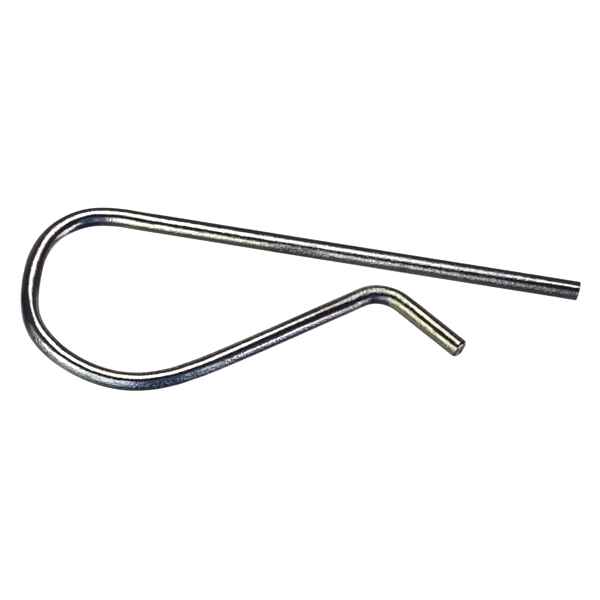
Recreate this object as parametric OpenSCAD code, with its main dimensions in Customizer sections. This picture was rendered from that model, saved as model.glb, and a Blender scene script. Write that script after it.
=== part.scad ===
// Hitch pin R-clip: one length of round spring wire, cut square at both
// ends and bent flat. The straight leg goes through the cross hole of a
// hitch pin, the big round loop is the spring and the thumb grip, and the
// arm comes back towards the leg, over a hump that snaps past the pin's
// shaft, to a short tail that flares away and leads the clip on.
//
// It lies flat, with +Z up. The leg runs along +X, the loop is at the -X
// end, and the arm is on the -Y side of the leg. The origin is under the
// middle of the clip's outline, on the surface that it lies on.

/* [Wire] */
// Diameter of the round spring wire
wire_d = 3.2; // [2.4:0.1:3.8]

/* [Straight leg] */
// Length of the straight leg, from its cut end to the start of the loop
leg_len = 77.1; // [72:0.1:90]
// Bevel around the cut end of the leg
leg_bevel = 0.15; // [0.05:0.05:0.5]

/* [Loop] */
// Radius of the loop, to the middle of the wire
loop_r = 17.1; // [15.5:0.1:18.5]

/* [Arm and hump] */
// Clear gap between the straight leg and the top of the hump
hump_gap = 4.3; // [2:0.1:6]
// Radius of the hump, to the middle of the wire
hump_r = 5.8; // [4.2:0.1:7]

/* [Tail] */
// Length of the straight tail, from the hump to its cut end
tail_len = 13.0; // [9:0.1:15]
// Bevel around the cut end of the tail
tail_bevel = 0.3; // [0.05:0.05:0.5]

/* [Hidden] */
$fn = 96;

// Half the wire's diameter
wire_r = wire_d / 2;
// Slope of the arm: it rises 3 for every 4 along the leg
lean = atan2(3, 4);
// Angle that the wire turns through in the loop
loop_turn = 180 + lean;
// Angle that the wire turns through in the hump, so that the tail falls
// away at the slope that the arm rises at
hump_turn = 2 * lean;
// Straight part of the arm, which sets the gap under the leg at the hump
arm_len = (loop_r * (1 + cos(lean)) - wire_d - hump_gap
           - hump_r * (1 - cos(lean))) / sin(lean);
// How much too far a bend is turned before its end is cut off
over_turn = 6;
// Middle of the clip's outline along X, from the start of the loop
mid_x = (leg_len - loop_r - wire_r) / 2;

// A straight piece of wire from the origin along +X.
module straight(len) {
    rotate([0, 90, 0]) cylinder(r = wire_r, h = len);
}

// A straight piece of wire that ends in a bevelled square cut.
module cut_end(len, bevel) {
    straight(len - bevel);
    translate([len - bevel, 0, 0]) rotate([0, 90, 0])
        cylinder(r1 = wire_r, r2 = wire_r - bevel, h = bevel);
}

// The next piece of wire goes on where a bend to the left ends.
module after_left(radius, turn) {
    translate([0, radius, 0]) rotate([0, 0, turn])
        translate([0, -radius, 0]) children();
}

// The next piece of wire goes on where a bend to the right ends.
module after_right(radius, turn) {
    translate([0, -radius, 0]) rotate([0, 0, -turn])
        translate([0, radius, 0]) children();
}

// What lies past the end of a bend, in the frame of the wire after it.
module past_the_end() {
    translate([0, -wire_d, -wire_d]) cube(2 * wire_d);
}

// A bend to the left: it leaves the origin along +X. It is turned a little
// too far and cut off square, so that the next piece meets it face to face.
module bend_left(radius, turn) {
    difference() {
        translate([0, radius, 0])
            rotate_extrude(angle = turn + over_turn, start = -90)
                translate([radius, 0]) circle(r = wire_r);
        after_left(radius, turn) past_the_end();
    }
}

// A bend to the right, made the same way.
module bend_right(radius, turn) {
    difference() {
        translate([0, -radius, 0])
            rotate_extrude(angle = turn + over_turn,
                           start = 90 - turn - over_turn)
                translate([radius, 0]) circle(r = wire_r);
        after_right(radius, turn) past_the_end();
    }
}

// The whole clip: leg, loop, arm, hump and tail in one bent wire.
module spring_wire() {
    color([0.72, 0.72, 0.66])
    translate([-mid_x, loop_r, wire_r]) {
        cut_end(leg_len, leg_bevel);
        rotate([0, 0, 180]) {
            bend_left(loop_r, loop_turn);
            after_left(loop_r, loop_turn) {
                straight(arm_len);
                translate([arm_len, 0, 0]) {
                    bend_right(hump_r, hump_turn);
                    after_right(hump_r, hump_turn)
                        cut_end(tail_len, tail_bevel);
                }
            }
        }
    }
}

spring_wire();
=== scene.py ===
import math

import bpy
import numpy as np
from mathutils import Matrix, Vector


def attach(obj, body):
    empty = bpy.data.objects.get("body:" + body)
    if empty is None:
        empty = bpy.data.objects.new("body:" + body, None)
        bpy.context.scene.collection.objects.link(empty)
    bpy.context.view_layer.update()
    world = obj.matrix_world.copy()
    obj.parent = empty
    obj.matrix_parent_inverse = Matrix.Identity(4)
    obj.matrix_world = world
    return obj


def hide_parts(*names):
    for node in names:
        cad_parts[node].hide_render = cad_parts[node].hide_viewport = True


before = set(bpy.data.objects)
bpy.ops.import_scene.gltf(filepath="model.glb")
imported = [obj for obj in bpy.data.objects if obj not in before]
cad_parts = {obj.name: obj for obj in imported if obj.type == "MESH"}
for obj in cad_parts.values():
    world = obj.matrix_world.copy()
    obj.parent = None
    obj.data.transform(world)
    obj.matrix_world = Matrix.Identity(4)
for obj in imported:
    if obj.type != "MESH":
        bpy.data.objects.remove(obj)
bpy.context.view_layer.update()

MM = 0.001
scene = bpy.context.scene

# ---------------------------------------------------------------- camera
# Long lens, far off and above the front of the clip, rolled a little.
AZ, EL, ROLL = math.radians(-12.2945), math.radians(51.3545), math.radians(18.8453)
FAR = 1.2
back = Vector((math.sin(AZ) * math.cos(EL), -math.cos(AZ) * math.cos(EL), math.sin(EL)))
level = Vector((math.cos(AZ), math.sin(AZ), 0.0))
rise = back.cross(level)
across = math.cos(ROLL) * level + math.sin(ROLL) * rise
upward = -math.sin(ROLL) * level + math.cos(ROLL) * rise
AIM = Vector((0.0, 5.661, 1.6)) * MM + 0.00005 * upward - 0.00003 * across
lens = bpy.data.cameras.new("camera")
lens.sensor_fit = "HORIZONTAL"
lens.sensor_width = 36.0
lens.lens = 428.25
lens.clip_start, lens.clip_end = 0.01, 200.0
camera = bpy.data.objects.new("camera", lens)
scene.collection.objects.link(camera)
turn = Matrix((across, upward, back)).transposed()
camera.matrix_world = Matrix.Translation(AIM + FAR * back) @ turn.to_4x4()
scene.camera = camera

# ------------------------------------------------------- the wire's route
# Straight leg, round loop, arm, hump and tail, in mm from the middle of the clip.
WIRE_R = 1.6
LEG_LEN, LOOP_R, HUMP_R, TAIL_LEN = 77.1, 17.1, 5.8, 13.0
HUMP_GAP = 4.3
LEAN = math.atan2(3.0, 4.0)
LOOP_TURN, HUMP_TURN = math.pi + LEAN, 2.0 * LEAN
ARM_LEN = (
    LOOP_R * (1.0 + math.cos(LEAN)) - 2.0 * WIRE_R - HUMP_GAP
    - HUMP_R * (1.0 - math.cos(LEAN))
) / math.sin(LEAN)
MID_X = (LEG_LEN - LOOP_R - WIRE_R) / 2.0
S_LOOP = LEG_LEN
S_ARM = S_LOOP + LOOP_R * LOOP_TURN
S_HUMP = S_ARM + ARM_LEN
S_TAIL = S_HUMP + HUMP_R * HUMP_TURN
S_END = S_TAIL + TAIL_LEN


def eased(x, knots):
    """A smooth curve through (x, y) knots, with level ends."""
    kx = np.array([k[0] for k in knots], float)
    ky = np.array([k[1] for k in knots], float)
    slope = np.zeros_like(ky)
    slope[1:-1] = (ky[2:] - ky[:-2]) / (kx[2:] - kx[:-2])
    x = np.clip(x, kx[0], kx[-1])
    i = np.clip(np.searchsorted(kx, x, side="right") - 1, 0, len(kx) - 2)
    h = kx[i + 1] - kx[i]
    t = (x - kx[i]) / h
    return (
        (2 * t**3 - 3 * t**2 + 1) * ky[i] + (t**3 - 2 * t**2 + t) * h * slope[i]
        + (-2 * t**3 + 3 * t**2) * ky[i + 1] + (t**3 - t**2) * h * slope[i + 1]
    )


def bump_at(x, middle, width):
    return np.exp(-0.5 * ((x - middle) / width) ** 2)


def ideal(s):
    """Points and headings of the ideal centre line at lengths s from the leg's cut end."""
    x, y, a = np.empty_like(s), np.empty_like(s), np.empty_like(s)
    m = s <= S_LOOP
    x[m], y[m], a[m] = LEG_LEN - s[m] - MID_X, LOOP_R, math.pi
    m = (s > S_LOOP) & (s <= S_ARM)
    t = (s[m] - S_LOOP) / LOOP_R
    x[m], y[m], a[m] = -MID_X - LOOP_R * np.sin(t), LOOP_R * np.cos(t), math.pi + t
    ax, ay = -MID_X + LOOP_R * math.sin(LEAN), -LOOP_R * math.cos(LEAN)
    m = (s > S_ARM) & (s <= S_HUMP)
    x[m] = ax + (s[m] - S_ARM) * math.cos(LEAN)
    y[m] = ay + (s[m] - S_ARM) * math.sin(LEAN)
    a[m] = 2 * math.pi + LEAN
    hx = ax + ARM_LEN * math.cos(LEAN) + HUMP_R * math.sin(LEAN)
    hy = ay + ARM_LEN * math.sin(LEAN) - HUMP_R * math.cos(LEAN)
    m = (s > S_HUMP) & (s <= S_TAIL)
    t = LEAN - (s[m] - S_HUMP) / HUMP_R
    x[m], y[m], a[m] = hx - HUMP_R * np.sin(t), hy + HUMP_R * np.cos(t), 2 * math.pi + t
    m = s > S_TAIL
    x[m] = hx + HUMP_R * math.sin(LEAN) + (s[m] - S_TAIL) * math.cos(LEAN)
    y[m] = hy + HUMP_R * math.cos(LEAN) - (s[m] - S_TAIL) * math.sin(LEAN)
    a[m] = 2 * math.pi - LEAN
    return x, y, a


# The loop is bent by hand over a peg, so it isn't a true circle. How far the
# wire runs outside (+) or inside (-) its ideal route, in mm.
UNEVEN = [
    (0, -0.02), (26, -0.15), (50, -0.14), (70, -0.12), (77, -0.12), (80, 0.07), (84, 0.48), (86, 0.56), (89, 0.50),
    (93, 0.24), (98, -0.31), (101, -0.62), (103, -0.68), (105, -0.61), (108, -0.28), (111, 0.16), (114, 0.42),
    (118, 0.39), (122, 0.19), (131, -0.13), (138, -0.38), (142, -0.20), (146, 0.08), (157, 0.18), (168, 0.11),
    (176, 0.06), (181, 0.02), (184, 0.05), (187, 0.09), (193, 0.09), (199, 0.10),
]


def route(s):
    x, y, a = ideal(s)
    off = eased(s, UNEVEN)
    return x + off * np.sin(a), y - off * np.cos(a)


# ------------------------------------------------------------ the wire mesh
AROUND = 72
STEP = 0.21
LEG_BEVEL, TAIL_BEVEL = 0.15, 0.6


def fine_noise(seed, s, ang, waves, long_mm, turns):
    """A smooth random field over the wire's skin: a sum of plain waves."""
    rng = np.random.default_rng(seed)
    out = np.zeros(np.broadcast(s, ang).shape)
    for _ in range(waves):
        k = rng.normal(0.0, 2 * math.pi / long_mm)
        n = rng.integers(-turns, turns + 1)
        out += np.cos(k * s + n * ang + rng.uniform(0, 2 * math.pi))
    return out / math.sqrt(waves / 2.0)


def thick(s):
    """The wire is drawn thinner where it was bent hardest, and is spread a little by the cutter at its ends."""
    return eased(s, [
        (0, 1.08), (25, 1.075), (45, 1.05), (60, 1.035), (75, 1.025), (83, 0.985), (90, 0.955), (104, 0.935), (110, 0.945),
        (114, 1.01), (117, 1.05), (122, 1.035), (129, 0.98), (140, 0.97), (175, 0.965), (183, 1.01), (187, 1.065),
        (190, 1.08), (199, 1.085),
    ])


def skin(s, ang):
    """Radius of the wire, in mm, at length s and angle ang (0 on the outer side of the bends, a quarter turn up)."""
    r = np.zeros(np.broadcast(s, ang).shape) + WIRE_R * thick(s)
    # drawing, straightening and bending leave the wire a little out of round:
    # oval along the bend's plane, oval on the slant, and slightly three-sided
    across_bend = eased(s, [
        (0, 0.002), (30, -0.01), (50, 0.055), (74, 0.049), (82, 0.015), (88, -0.008), (96, 0.009), (104, 0.047),
        (112, -0.004), (120, 0.029), (126, 0.032), (130, 0.010), (140, -0.001), (150, 0.007), (163, -0.038), (176, 0.001), (182, -0.002),
        (188, -0.025), (199, -0.003),
    ])
    slanted = eased(s, [
        (0, -0.052), (30, -0.055), (74, -0.055), (82, -0.015), (88, 0.018), (96, -0.03), (104, 0.016), (112, -0.031),
        (120, 0.054), (130, 0.008), (140, 0.006), (150, -0.018), (163, -0.055), (176, -0.037), (182, -0.006), (188, 0.018),
        (199, 0.03),
    ])
    three = eased(s, [
        (0, 0.004), (30, 0.021), (50, -0.006), (74, -0.025), (82, -0.02), (88, -0.004), (96, 0.015), (104, 0.026),
        (112, 0.0), (150, 0.003), (163, 0.01), (176, 0.026), (182, 0.016), (188, 0.01), (199, 0.006),
    ])
    r = r * (1.0 + across_bend * np.cos(2 * ang) + slanted * np.sin(2 * ang) + three * np.sin(3 * ang))
    # shallow waves left by straightening and by bending over the peg
    r = r + 0.0035 * fine_noise(3, s, ang, 30, 9.0, 2)
    r = r + 0.0014 * fine_noise(5, s, ang, 40, 2.2, 4)
    # dents and knocks from tumbling in a barrel with other clips
    rng = np.random.default_rng(11)
    for _ in range(150):
        s0, a0 = rng.uniform(2, S_END - 2), rng.uniform(0, 2 * math.pi)
        wide, deep = rng.uniform(0.16, 0.5), rng.uniform(0.003, 0.014)
        long = wide * rng.uniform(0.8, 3.0)
        near = np.abs(s - s0) < 4 * long
        if not near.any():
            continue
        d = (ang - a0 + math.pi) % (2 * math.pi) - math.pi
        r = r - deep * np.exp(-0.5 * ((s - s0) / long) ** 2 - 0.5 * (d * WIRE_R / wide) ** 2)
    # marks of the bending tools: a pressed flat inside each bend and a line
    # where the clamp held the leg
    inner = np.exp(-0.5 * (((ang - math.pi + math.pi) % (2 * math.pi) - math.pi) / 0.5) ** 2)
    outer = np.exp(-0.5 * (((ang + math.pi) % (2 * math.pi) - math.pi) / 0.5) ** 2)
    r = r - 0.022 * inner * bump_at(s, 79.5, 1.1)
    r = r - 0.016 * outer * bump_at(s, 76.2, 0.8)
    r = r - 0.03 * outer * bump_at(s, S_HUMP - 1.2, 0.7)
    r = r - 0.03 * outer * bump_at(s, S_TAIL + 1.4, 0.7)
    return r


def build_wire():
    # lengths of the rings: even along the wire, close together at the ends
    inner = np.linspace(1.2, S_END - 1.2, int(round((S_END - 2.4) / STEP)) + 1)
    ramp = 1.2 * np.linspace(0.0, 1.0, 13) ** 1.6
    body = np.concatenate([ramp[:-1], inner, S_END - ramp[:-1][::-1]])
    ang = np.linspace(0.0, 2 * math.pi, AROUND, endpoint=False)

    # end profile: (how far back from the end, radius less by), outermost last
    def end_rings(bevel):
        t = np.linspace(0.0, 0.5 * math.pi, 9)
        edge = [(bevel * (1 - math.sin(a)), bevel * (1 - math.cos(a))) for a in t]
        return edge

    rings = []  # (s, radius drop, share of the end face's radius)
    lead = end_rings(LEG_BEVEL)
    trail = end_rings(TAIL_BEVEL)
    for share in (0.12, 0.3, 0.5, 0.68, 0.82, 0.92):
        rings.append((0.0, LEG_BEVEL, share, 1.0))
    for back_by, drop in reversed(lead):
        rings.append((back_by, drop, 1.0, 0.8 if drop > 0.3 * LEG_BEVEL else 0.25))
    for s in body:
        if LEG_BEVEL + 0.01 < s < S_END - TAIL_BEVEL - 0.01:
            rings.append((s, 0.0, 1.0, 0.0))
    for back_by, drop in trail:
        rings.append((S_END - back_by, drop, 1.0, 0.3 if drop > 0.7 * TAIL_BEVEL else 0.0))
    for share in (0.92, 0.82, 0.68, 0.5, 0.3, 0.12):
        rings.append((S_END, TAIL_BEVEL, share, 1.0))
    s = np.array([q[0] for q in rings])
    drop = np.array([q[1] for q in rings])
    share = np.array([q[2] for q in rings])
    cut = np.array([q[3] for q in rings])

    # frames along the uneven route
    e = 0.02
    x0, y0 = route(np.clip(s - e, 0, S_END))
    x1, y1 = route(np.clip(s + e, 0, S_END))
    tx, ty = x1 - x0, y1 - y0
    n = np.hypot(tx, ty)
    tx, ty = tx / n, ty / n
    cx, cy = route(s)
    ox, oy = ty, -tx  # to the right of the heading: the outer side of the loop

    S, A = np.meshgrid(s, ang, indexing="ij")
    R = (skin(S, A) - drop[:, None]) * share[:, None]
    U, V = R * np.cos(A), R * np.sin(A)
    X = cx[:, None] + ox[:, None] * U
    Y = cy[:, None] + oy[:, None] * U
    Z = WIRE_R * thick(s)[:, None] + V

    # the cuts: sheared, so each face leans and has a smooth and a torn half
    rng_face = fine_noise(21, S * 0 + U * 2.2, np.arctan2(V, U), 24, 3.0, 3)
    lean_leg = 0.14 - 0.02 * V - 0.09 * U + 0.012 * rng_face
    lean_tail = 0.02 * V + 0.03 * U + 0.03 * rng_face
    at_leg = np.clip(1.0 - S / 0.6, 0, 1) * (S < 0.6)
    at_tail = np.clip(1.0 - (S_END - S) / 0.9, 0, 1) * (S > S_END - 0.9)
    push = lean_leg * at_leg + lean_tail * at_tail
    # the shear rolls one edge over and drags a thin burr out at the other
    burr = np.exp(-0.5 * (((A + 0.5 * math.pi + math.pi) % (2 * math.pi) - math.pi) / 0.6) ** 2)
    push = push - 0.05 * burr * at_leg * (share[:, None] > 0.9) + 0.04 * burr * at_tail * (share[:, None] > 0.9)
    X = X + tx[:, None] * push
    Y = Y + ty[:, None] * push
    Z = np.maximum(Z, 0.0)

    verts = np.stack([X, Y, Z], -1).reshape(-1, 3)
    count = len(s)
    centre = [len(verts), len(verts) + 1]
    hub = []
    for k in (0, count - 1):
        hub.append(np.array([X[k].mean(), Y[k].mean(), Z[k].mean()]))
    verts = np.vstack([verts, np.array(hub)])

    i, j = np.meshgrid(np.arange(count - 1), np.arange(AROUND), indexing="ij")
    jn = (j + 1) % AROUND
    quads = np.stack([i * AROUND + j, i * AROUND + jn, (i + 1) * AROUND + jn, (i + 1) * AROUND + j], -1).reshape(-1, 4)
    faces = [tuple(int(v) for v in q) for q in quads]
    last = (count - 1) * AROUND
    for k in range(AROUND):
        kn = (k + 1) % AROUND
        faces.append((centre[0], kn, k))
        faces.append((centre[1], last + k, last + kn))

    mesh = bpy.data.meshes.new("spring_wire_skin")
    mesh.from_pydata((verts * MM).tolist(), [], faces)
    mesh.polygons.foreach_set("use_smooth", np.ones(len(mesh.polygons), bool))

    # the wire as it was before bending, in mm: length along it and place across it
    flat = np.stack([S, U, V], -1).reshape(-1, 3)
    flat = np.vstack([flat, [[0.0, 0.0, 0.0], [S_END, 0.0, 0.0]]])
    straight = mesh.attributes.new("straight", "FLOAT_VECTOR", "POINT")
    straight.data.foreach_set("vector", flat.astype(np.float32).ravel())
    ends = mesh.attributes.new("cut_face", "FLOAT", "POINT")
    value = np.concatenate([np.repeat(cut, AROUND), [1.0, 1.0]])
    ends.data.foreach_set("value", value.astype(np.float32))
    # how much the plate is scuffed: most along the leg, which slides in holes,
    # and on the outside of the loop, which knocks against other clips
    outside = np.clip((np.cos(A) - 0.05) / 0.6, 0, 1)
    inside = np.clip((-np.cos(A) - 0.05) / 0.6, 0, 1)
    above = np.clip((np.sin(A) - 0.45) / 0.4, 0, 1)
    scuff = eased(S, [(0, 0.8), (30, 0.78), (44, 0.75), (49, 1.0), (54, 0.5), (76, 0.42), (84, 0.35), (104, 0.3), (130, 0.3), (160, 0.45), (199, 0.5)])
    scuff = scuff + inside * eased(S, [(0, 0), (42, 0), (45.5, 0.8), (52, 0.8), (54.5, 0), (199, 0)])
    scuff = scuff + outside * eased(S, [(0, 0), (106, 0), (116, 0.7), (130, 0.75), (137, 1.05), (147, 1.05), (153, 0.1), (178, 0.1), (188, 0.1), (199, 0.1)])
    calm = eased(S, [(0, 0.10), (4, 0.16), (10, 0.40), (30, 0.44), (50, 0.32), (80, 0.22), (100, 0.16), (130, 0.16), (172, 0.16), (180, 0.55), (186, 0.5), (190, 0.22), (199, 0.25)])
    scuff = scuff + above * (calm - scuff)
    worn = mesh.attributes.new("worn", "FLOAT", "POINT")
    value = np.concatenate([scuff.ravel(), [1.0, 1.0]])
    worn.data.foreach_set("value", value.astype(np.float32))
    # bloom of the passivated zinc: straw yellow, blue and lilac stretches, mixed with painted reflection and painted
    # shade: patches on the inner, outer and top flanks tinted lighter, darker, cream or navy to stand in for the
    # bright and dark bands of reflected light along the wire (the hump's dark blue painted patch ends on a slant)
    lap = S - 1.1 * (0.9 - ((A + math.pi) % (2 * math.pi) - math.pi))
    bloom_and_painted_reflection = np.ones(S.shape + (3,))
    for amount, tint in (
        (inside * eased(S, [(0, 0), (44, 0), (56, 1), (76, 1), (82, 0.8), (84, 0), (199, 0)]), (1.0, 0.99, 0.88)),
        (inside * eased(S, [(0, 0), (82.5, 0), (84.5, 1), (86.5, 1), (88.5, 0), (199, 0)]), (0.58, 0.66, 0.88)),
        (inside * eased(S, [(0, 0), (43, 0), (46.5, 1), (52.5, 1), (54.5, 0), (199, 0)]), (0.56, 0.56, 0.60)),
        # painted dark reflection: navy-grey on the outer flank of the lower loop
        (outside * eased(S, [(0, 0), (98, 0), (103, 1), (112, 1), (115, 0), (199, 0)]), (0.42, 0.50, 0.62)),
        (outside * eased(S, [(0, 0), (104, 0), (113, 1), (126, 1), (130, 0), (199, 0)]), (0.93, 0.97, 1.0)),
        (outside * eased(S, [(0, 0), (126, 0), (132, 1), (142, 1), (150, 0), (199, 0)]), (0.42, 0.53, 0.82)),
        (outside * eased(S, [(0, 0), (142, 0), (150, 1), (183, 1), (186, 0), (199, 0)]), (0.96, 0.96, 1.04)),
        (outside * eased(S, [(0, 0), (157, 0), (167, 1), (178, 1), (181, 0), (199, 0)]), (0.80, 0.77, 0.82)),
        # painted dark reflection: navy and near-black patch on the hump's outer flank, ending on a slant
        (outside * eased(lap, [(0, 0), (176.5, 0), (179.5, 1), (182.9, 1), (183.4, 0), (199, 0)]), (0.50, 0.53, 0.68)),
        (outside * eased(lap, [(0, 0), (181.4, 0), (182.5, 1), (183.0, 1), (183.5, 0), (199, 0)]), (0.34, 0.31, 0.36)),
        (outside * eased(S, [(0, 0), (120, 0), (126, 1), (130, 1), (134, 0), (199, 0)]), (0.56, 0.58, 0.65)),
        (inside * eased(S, [(0, 0), (89, 0), (93, 1), (103, 1), (107, 0), (199, 0)]), (0.66, 0.60, 0.62)),
        # painted dark reflection: the lower, inner flank darkened near the leg's cut end
        (inside * eased(S, [(0, 1), (12, 1), (24, 0), (199, 0)]), (0.74, 0.74, 0.77)),
        # painted reflection: cream and straw bands on the tail
        (np.maximum(eased(S, [(0, 0), (184.2, 0), (185.8, 1), (199, 1)]), outside * eased(lap, [(0, 0), (182.9, 0), (183.5, 1), (199, 1)])), (0.78, 0.74, 0.61)),
        (outside * eased(S, [(0, 0), (186.5, 0), (189, 1), (199, 1)]), (0.92, 0.915, 0.88)),
        (eased(S, [(0, 0), (160, 0), (174, 1), (186, 1), (190, 0), (199, 0)]), (1.0, 0.985, 0.92)),
        # painted shade: the top of the hump darkened
        (above * eased(S, [(0, 0), (175, 0), (180, 1), (185, 1), (188, 0), (199, 0)]), (0.86, 0.90, 0.87)),
        (eased(S, [(0, 1), (20, 1), (44, 0), (199, 0)]), (0.98, 0.99, 1.04)),
    ):
        bloom_and_painted_reflection *= 1.0 + amount[..., None] * (np.array(tint) - 1.0)
    tone = mesh.attributes.new("bloom_and_painted_reflection", "FLOAT_COLOR", "POINT")
    value = np.concatenate([bloom_and_painted_reflection.reshape(-1, 3), np.ones((2, 3))])
    value = np.concatenate([value, np.ones((len(value), 1))], 1)
    tone.data.foreach_set("color", value.astype(np.float32).ravel())
    mesh.validate()
    mesh.update()
    wire = bpy.data.objects.new("wire_clip", mesh)
    scene.collection.objects.link(wire)
    return wire


# ---------------------------------------------------------------- material
def zinc_material():
    mat = bpy.data.materials.new("zinc_wire")
    mat.use_nodes = True
    tree = mat.node_tree
    tree.nodes.clear()
    n, link = tree.nodes, tree.links

    def node(kind, **settings):
        made = n.new(kind)
        for name, value in settings.items():
            setattr(made, name, value)
        return made

    def math_node(op, a, b=None, clamp=False):
        made = node("ShaderNodeMath", operation=op, use_clamp=clamp)
        for k, v in enumerate((a, b)):
            if v is None:
                continue
            if isinstance(v, (int, float)):
                made.inputs[k].default_value = v
            else:
                link.new(v, made.inputs[k])
        return made.outputs[0]

    def noise(vector, scale, detail=3.0, rough=0.5):
        made = node("ShaderNodeTexNoise")
        made.inputs["Scale"].default_value = scale
        made.inputs["Detail"].default_value = detail
        made.inputs["Roughness"].default_value = rough
        link.new(vector, made.inputs["Vector"])
        return made.outputs["Fac"]

    def ramp(fac, stops, mode="LINEAR"):
        made = node("ShaderNodeValToRGB")
        made.color_ramp.interpolation = mode
        els = made.color_ramp.elements
        while len(els) < len(stops):
            els.new(0.5)
        for el, (pos, col) in zip(els, stops):
            el.position = pos
            el.color = (*col, 1.0) if isinstance(col, tuple) else (col, col, col, 1.0)
        link.new(fac, made.inputs["Fac"])
        return made.outputs["Color"]

    def mix(fac, a, b, blend="MIX"):
        made = node("ShaderNodeMix", data_type="RGBA", blend_type=blend)
        sockets = [made.inputs[0], made.inputs[6], made.inputs[7]]
        for socket, v in zip(sockets, (fac, a, b)):
            if isinstance(v, (int, float)):
                socket.default_value = v
            elif isinstance(v, tuple):
                socket.default_value = (*v, 1.0)
            else:
                link.new(v, socket)
        return made.outputs[2]

    def stretched(x, y, z, shift=(0.0, 0.0, 0.0)):
        made = node("ShaderNodeMapping")
        made.inputs["Scale"].default_value = (x, y, z)
        made.inputs["Location"].default_value = shift
        link.new(co, made.inputs["Vector"])
        return made.outputs["Vector"]

    co = node("ShaderNodeAttribute", attribute_type="GEOMETRY", attribute_name="straight").outputs["Vector"]
    cut = node("ShaderNodeAttribute", attribute_type="GEOMETRY", attribute_name="cut_face").outputs["Fac"]
    # tone holds the zinc bloom together with painted reflection and painted shade on the flanks
    tone = node("ShaderNodeAttribute", attribute_type="GEOMETRY", attribute_name="bloom_and_painted_reflection").outputs["Color"]
    worn = node("ShaderNodeAttribute", attribute_type="GEOMETRY", attribute_name="worn").outputs["Fac"]

    # fields, all in mm of the straight wire
    lines = noise(stretched(0.7, 3.4, 3.4), 1.0, 3.0, 0.55)        # drawing lines
    broad = noise(stretched(0.09, 0.45, 0.45), 1.0, 3.0, 0.55)     # slow change of the plate's colour and of how strongly the bloom and painted reflections show
    patch = noise(stretched(0.16, 0.5, 0.5, (7.0, 3.0, 1.0)), 1.0, 4.0, 0.6)
    grain = noise(stretched(1.0, 1.0, 1.0), 3.0, 2.0, 0.6)         # crystals of the plate
    specks = noise(stretched(1.3, 3.0, 3.0, (3.0, 9.0, 2.0)), 1.3, 3.0, 0.6)

    # colour: bright zinc under the bloom and the painted reflections and shade, duller lines, dark specks
    tint = mix(ramp(broad, [(0.36, 1.0), (0.66, 0.55)]), (1.0, 1.0, 1.0), tone)
    metal = ramp(broad, [(0.30, (0.80, 0.82, 0.87)), (0.46, (0.86, 0.86, 0.85)), (0.60, (0.88, 0.87, 0.82))])
    colour = mix(1.0, metal, tint, "MULTIPLY")
    dull = ramp(patch, [(0.35, (0.88, 0.88, 0.88)), (0.62, (1.0, 1.0, 1.0))])
    colour = mix(1.0, colour, dull, "MULTIPLY")
    streaks = ramp(lines, [(0.34, (0.50, 0.49, 0.48)), (0.50, (1.0, 1.0, 1.0))])
    colour = mix(math_node("MULTIPLY", worn, 0.9, clamp=True), colour, mix(1.0, colour, streaks, "MULTIPLY"))
    spot = ramp(math_node("ADD", specks, math_node("MULTIPLY", worn, 0.05)), [(0.61, 0.0), (0.69, 1.0)])
    spot = math_node("MULTIPLY", spot, math_node("MULTIPLY", worn, 0.85), clamp=True)
    colour = mix(spot, colour, (0.17, 0.155, 0.15))
    # cut faces: grainy bare metal, its colour held dark as painted shade so the ends stay dark under the rear floor
    # lamps
    raw_cut_and_painted_shade = mix(ramp(grain, [(0.40, 0.0), (0.62, 1.0)]), (0.10, 0.095, 0.095), (0.38, 0.37, 0.36))
    colour = mix(cut, colour, raw_cut_and_painted_shade)

    # roughness: bright plate, duller along the lines and in patches
    rough = ramp(patch, [(0.35, 0.085), (0.65, 0.045)])
    rough = math_node("ADD", rough, math_node("MULTIPLY", math_node("MULTIPLY", lines, worn), 0.08))
    rough = math_node("ADD", rough, math_node("MULTIPLY", cut, 0.26))

    # relief: drawing lines, grain of the plate, torn metal on the cuts
    height = math_node("MULTIPLY", lines, 0.8)
    height = math_node("ADD", height, math_node("MULTIPLY", grain, 1.6))
    height = math_node("MULTIPLY", height, worn)
    height = math_node("ADD", height, math_node("MULTIPLY", math_node("MULTIPLY", cut, grain), 2.0))
    relief = node("ShaderNodeBump")
    relief.inputs["Strength"].default_value = 1.0
    relief.inputs["Distance"].default_value = 0.000075
    link.new(height, relief.inputs["Height"])

    shader = node("ShaderNodeBsdfPrincipled")
    shader.inputs["Metallic"].default_value = 1.0
    link.new(colour, shader.inputs["Base Color"])
    link.new(rough, shader.inputs["Roughness"])
    link.new(relief.outputs["Normal"], shader.inputs["Normal"])
    out = node("ShaderNodeOutputMaterial")
    link.new(shader.outputs["BSDF"], out.inputs["Surface"])
    return mat


wire = build_wire()
wire.data.materials.append(zinc_material())
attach(wire, "root")
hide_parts("spring_wire")

# ------------------------------------------------------- floor and studio
floor_mesh = bpy.data.meshes.new("floor")
half = 15.0
floor_mesh.from_pydata([(-half, -half, 0), (half, -half, 0), (half, half, 0), (-half, half, 0)], [], [(0, 1, 2, 3)])
floor = bpy.data.objects.new("floor", floor_mesh)
floor.location.z = -0.00003
scene.collection.objects.link(floor)
paper = bpy.data.materials.new("floor_paper")
paper.use_nodes = True
sheet = paper.node_tree.nodes["Principled BSDF"]
sheet.inputs["Base Color"].default_value = (0.9, 0.9, 0.9, 1.0)
sheet.inputs["Roughness"].default_value = 0.95
sheet.inputs["Specular IOR Level"].default_value = 0.1
sheet.inputs["Emission Color"].default_value = (1.0, 1.0, 1.0, 1.0)
sheet.inputs["Emission Strength"].default_value = 0.92
floor_mesh.materials.append(paper)
floor.visible_glossy = False


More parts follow.
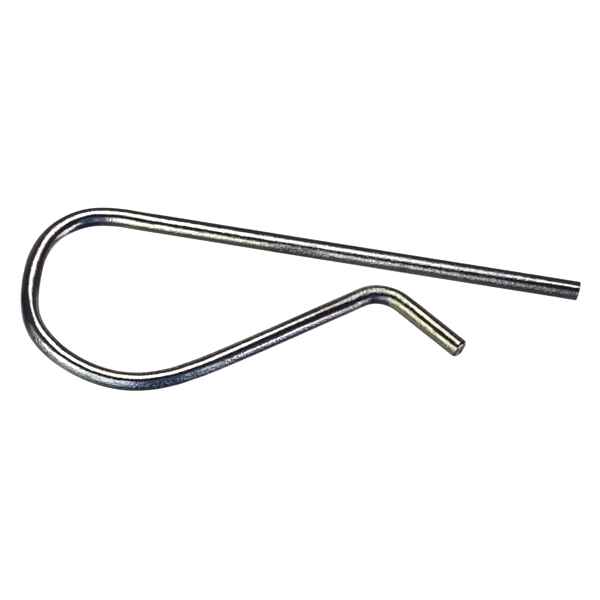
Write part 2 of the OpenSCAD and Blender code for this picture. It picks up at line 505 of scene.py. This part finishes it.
def softbox(name, centre, aim, wide, high, glow, colour, spin=0.0):
    """A soft rectangular lamp of that radiance, in metres, facing aim."""
    lamp = bpy.data.lights.new(name, "AREA")
    lamp.shape = "RECTANGLE"
    lamp.size, lamp.size_y = wide, high
    lamp.energy = glow * math.pi * wide * high
    lamp.color = colour
    obj = bpy.data.objects.new(name, lamp)
    way = (Vector(aim) - Vector(centre)).normalized()
    turn = way.to_track_quat("-Z", "Y").to_matrix().to_4x4()
    obj.matrix_world = Matrix.Translation(Vector(centre)) @ turn @ Matrix.Rotation(spin, 4, "Z")
    obj.visible_camera = False
    scene.collection.objects.link(obj)
    return obj


def overhead(name, x, y, long, wide, glow, colour, spin):
    """A lamp that hangs level, 0.4 m up, turned by spin about the vertical."""
    softbox(name, (x, y, 0.4), (x, y, 0.0), long, wide, glow, colour, spin)


def panel(name, right, left, low, high, glow, colour, dip=0.0):
    """An upright lamp between two points on plan, from low to high, its right end dipped by that angle."""
    a, b = Vector((*right, 0.0)), Vector((*left, 0.0))
    middle = 0.5 * (a + b) + Vector((0.0, 0.0, 0.5 * (low + high)))
    face = Vector((a - b)).cross(Vector((0.0, 0.0, 1.0))).normalized()
    if face.dot(middle) > 0.0:
        face = -face
    softbox(name, middle, middle + face, (a - b).length, high - low, glow, colour, -dip)


overhead("top", -0.028, 0.175, 0.343, 0.233, 1.62, (1.0, 1.0, 0.995), -0.686)
overhead("top_rear", -0.014, 0.345, 0.370, 0.047, 1.62, (1.0, 1.0, 0.995), -0.686)
panel("front_left", (0.020, -0.159), (-0.463, -0.102), -0.008, 0.157, 1.36, (0.98, 1.0, 0.975), 0.092)
panel("left_end", (-0.463, -0.102), (-0.462, 0.050), -0.008, 0.157, 0.30, (0.72, 0.88, 1.0))
panel("front_strip", (0.054, -0.106), (0.019, -0.066), -0.011, 0.063, 0.62, (1.0, 1.0, 0.98), 0.103)
panel("front_right", (0.511, 0.046), (0.338, -0.199), -0.004, 0.112, 1.45, (0.93, 0.94, 1.0), 0.051)
panel("side_right", (0.198, 0.012), (0.379, -0.144), -0.123, 0.019, 1.2, (0.95, 1.0, 1.0), 0.230)
panel("front_blue", (0.307, -0.116), (-0.004, -0.513), 0.078, 0.290, 0.12, (0.62, 0.77, 1.0), -0.482)
softbox("floor_glow", (-0.060, -0.052, -0.105), (0.025, 0.0, 0.0016), 0.10, 0.09, 0.13, (0.98, 1.0, 0.86))
panel("rear_right", (0.160, 0.420), (0.320, 0.316), -0.13, 0.12, 0.15, (0.94, 0.97, 1.0))
panel("rear_left", (-0.21, 0.39), (-0.39, 0.225), -0.12, 0.10, 0.04, (1.0, 0.96, 0.98))
softbox("floor_rear_right", (0.19, 0.25, -0.32), (0.0, 0.0, 0.0), 0.46, 0.26, 0.45, (1.0, 1.0, 1.0))
softbox("floor_rear_left", (-0.19, 0.27, -0.32), (0.0, 0.0, 0.0), 0.36, 0.26, 0.30, (1.0, 1.0, 1.0))

world = bpy.data.worlds.new("studio")
scene.world = world
world.use_nodes = True
wn, wl = world.node_tree.nodes, world.node_tree.links
wn.clear()
place = wn.new("ShaderNodeTexCoord")
parts = wn.new("ShaderNodeSeparateXYZ")
wl.new(place.outputs["Generated"], parts.inputs[0])
tall = wn.new("ShaderNodeMapRange")
tall.inputs["From Min"].default_value = -1.0
tall.inputs["From Max"].default_value = 1.0
wl.new(parts.outputs["Z"], tall.inputs["Value"])


def sky(stops):
    """Colour by height, from straight down to straight up."""
    made = wn.new("ShaderNodeValToRGB")
    els = made.color_ramp.elements
    for pos, col in stops:
        el = els[0] if pos == 0.0 else (els[-1] if pos == 1.0 else els.new(pos))
        el.position = pos
        el.color = (*col, 1.0)
    wl.new(tall.outputs[0], made.inputs["Fac"])
    return made.outputs["Color"]


def between(axis, a, b):
    """One colour towards the low end of an axis, the other towards its high end."""
    part = wn.new("ShaderNodeMapRange")
    part.interpolation_type = "SMOOTHSTEP"
    part.inputs["From Min"].default_value = -0.8
    part.inputs["From Max"].default_value = 0.8
    wl.new(parts.outputs[axis], part.inputs["Value"])
    made = wn.new("ShaderNodeMix")
    made.data_type = "RGBA"
    wl.new(part.outputs[0], made.inputs[0])
    wl.new(a, made.inputs[6])
    wl.new(b, made.inputs[7])
    return made.outputs[2]


left = sky([(0.0, (0.17, 0.175, 0.155)), (0.25, (0.12, 0.122, 0.095)), (0.5, (0.055, 0.056, 0.05)),
            (0.75, (0.07, 0.07, 0.07)), (1.0, (0.020, 0.013, 0.006))])
right = sky([(0.0, (0.004, 0.004, 0.006)), (0.25, (0.013, 0.015, 0.03)), (0.5, (0.040, 0.055, 0.095)),
             (0.75, (0.006, 0.003, 0.013)), (1.0, (0.016, 0.014, 0.018))])
rear = sky([(0.0, (0.10, 0.098, 0.115)), (0.25, (0.06, 0.06, 0.07)), (0.5, (0.025, 0.017, 0.018)),
            (0.75, (0.044, 0.034, 0.034)), (1.0, (0.005, 0.004, 0.006))])
shade = between("Y", between("X", left, right), rear)
dim = wn.new("ShaderNodeBackground")
wl.new(shade, dim.inputs["Color"])
pale = wn.new("ShaderNodeBackground")
pale.inputs["Color"].default_value = (1.0, 1.0, 1.0, 1.0)
seen = wn.new("ShaderNodeLightPath")
pick = wn.new("ShaderNodeMixShader")
wl.new(seen.outputs["Is Camera Ray"], pick.inputs[0])
wl.new(dim.outputs[0], pick.inputs[1])
wl.new(pale.outputs[0], pick.inputs[2])
end = wn.new("ShaderNodeOutputWorld")
wl.new(pick.outputs[0], end.inputs["Surface"])

scene.view_settings.view_transform = "Standard"
scene.view_settings.look = "None"
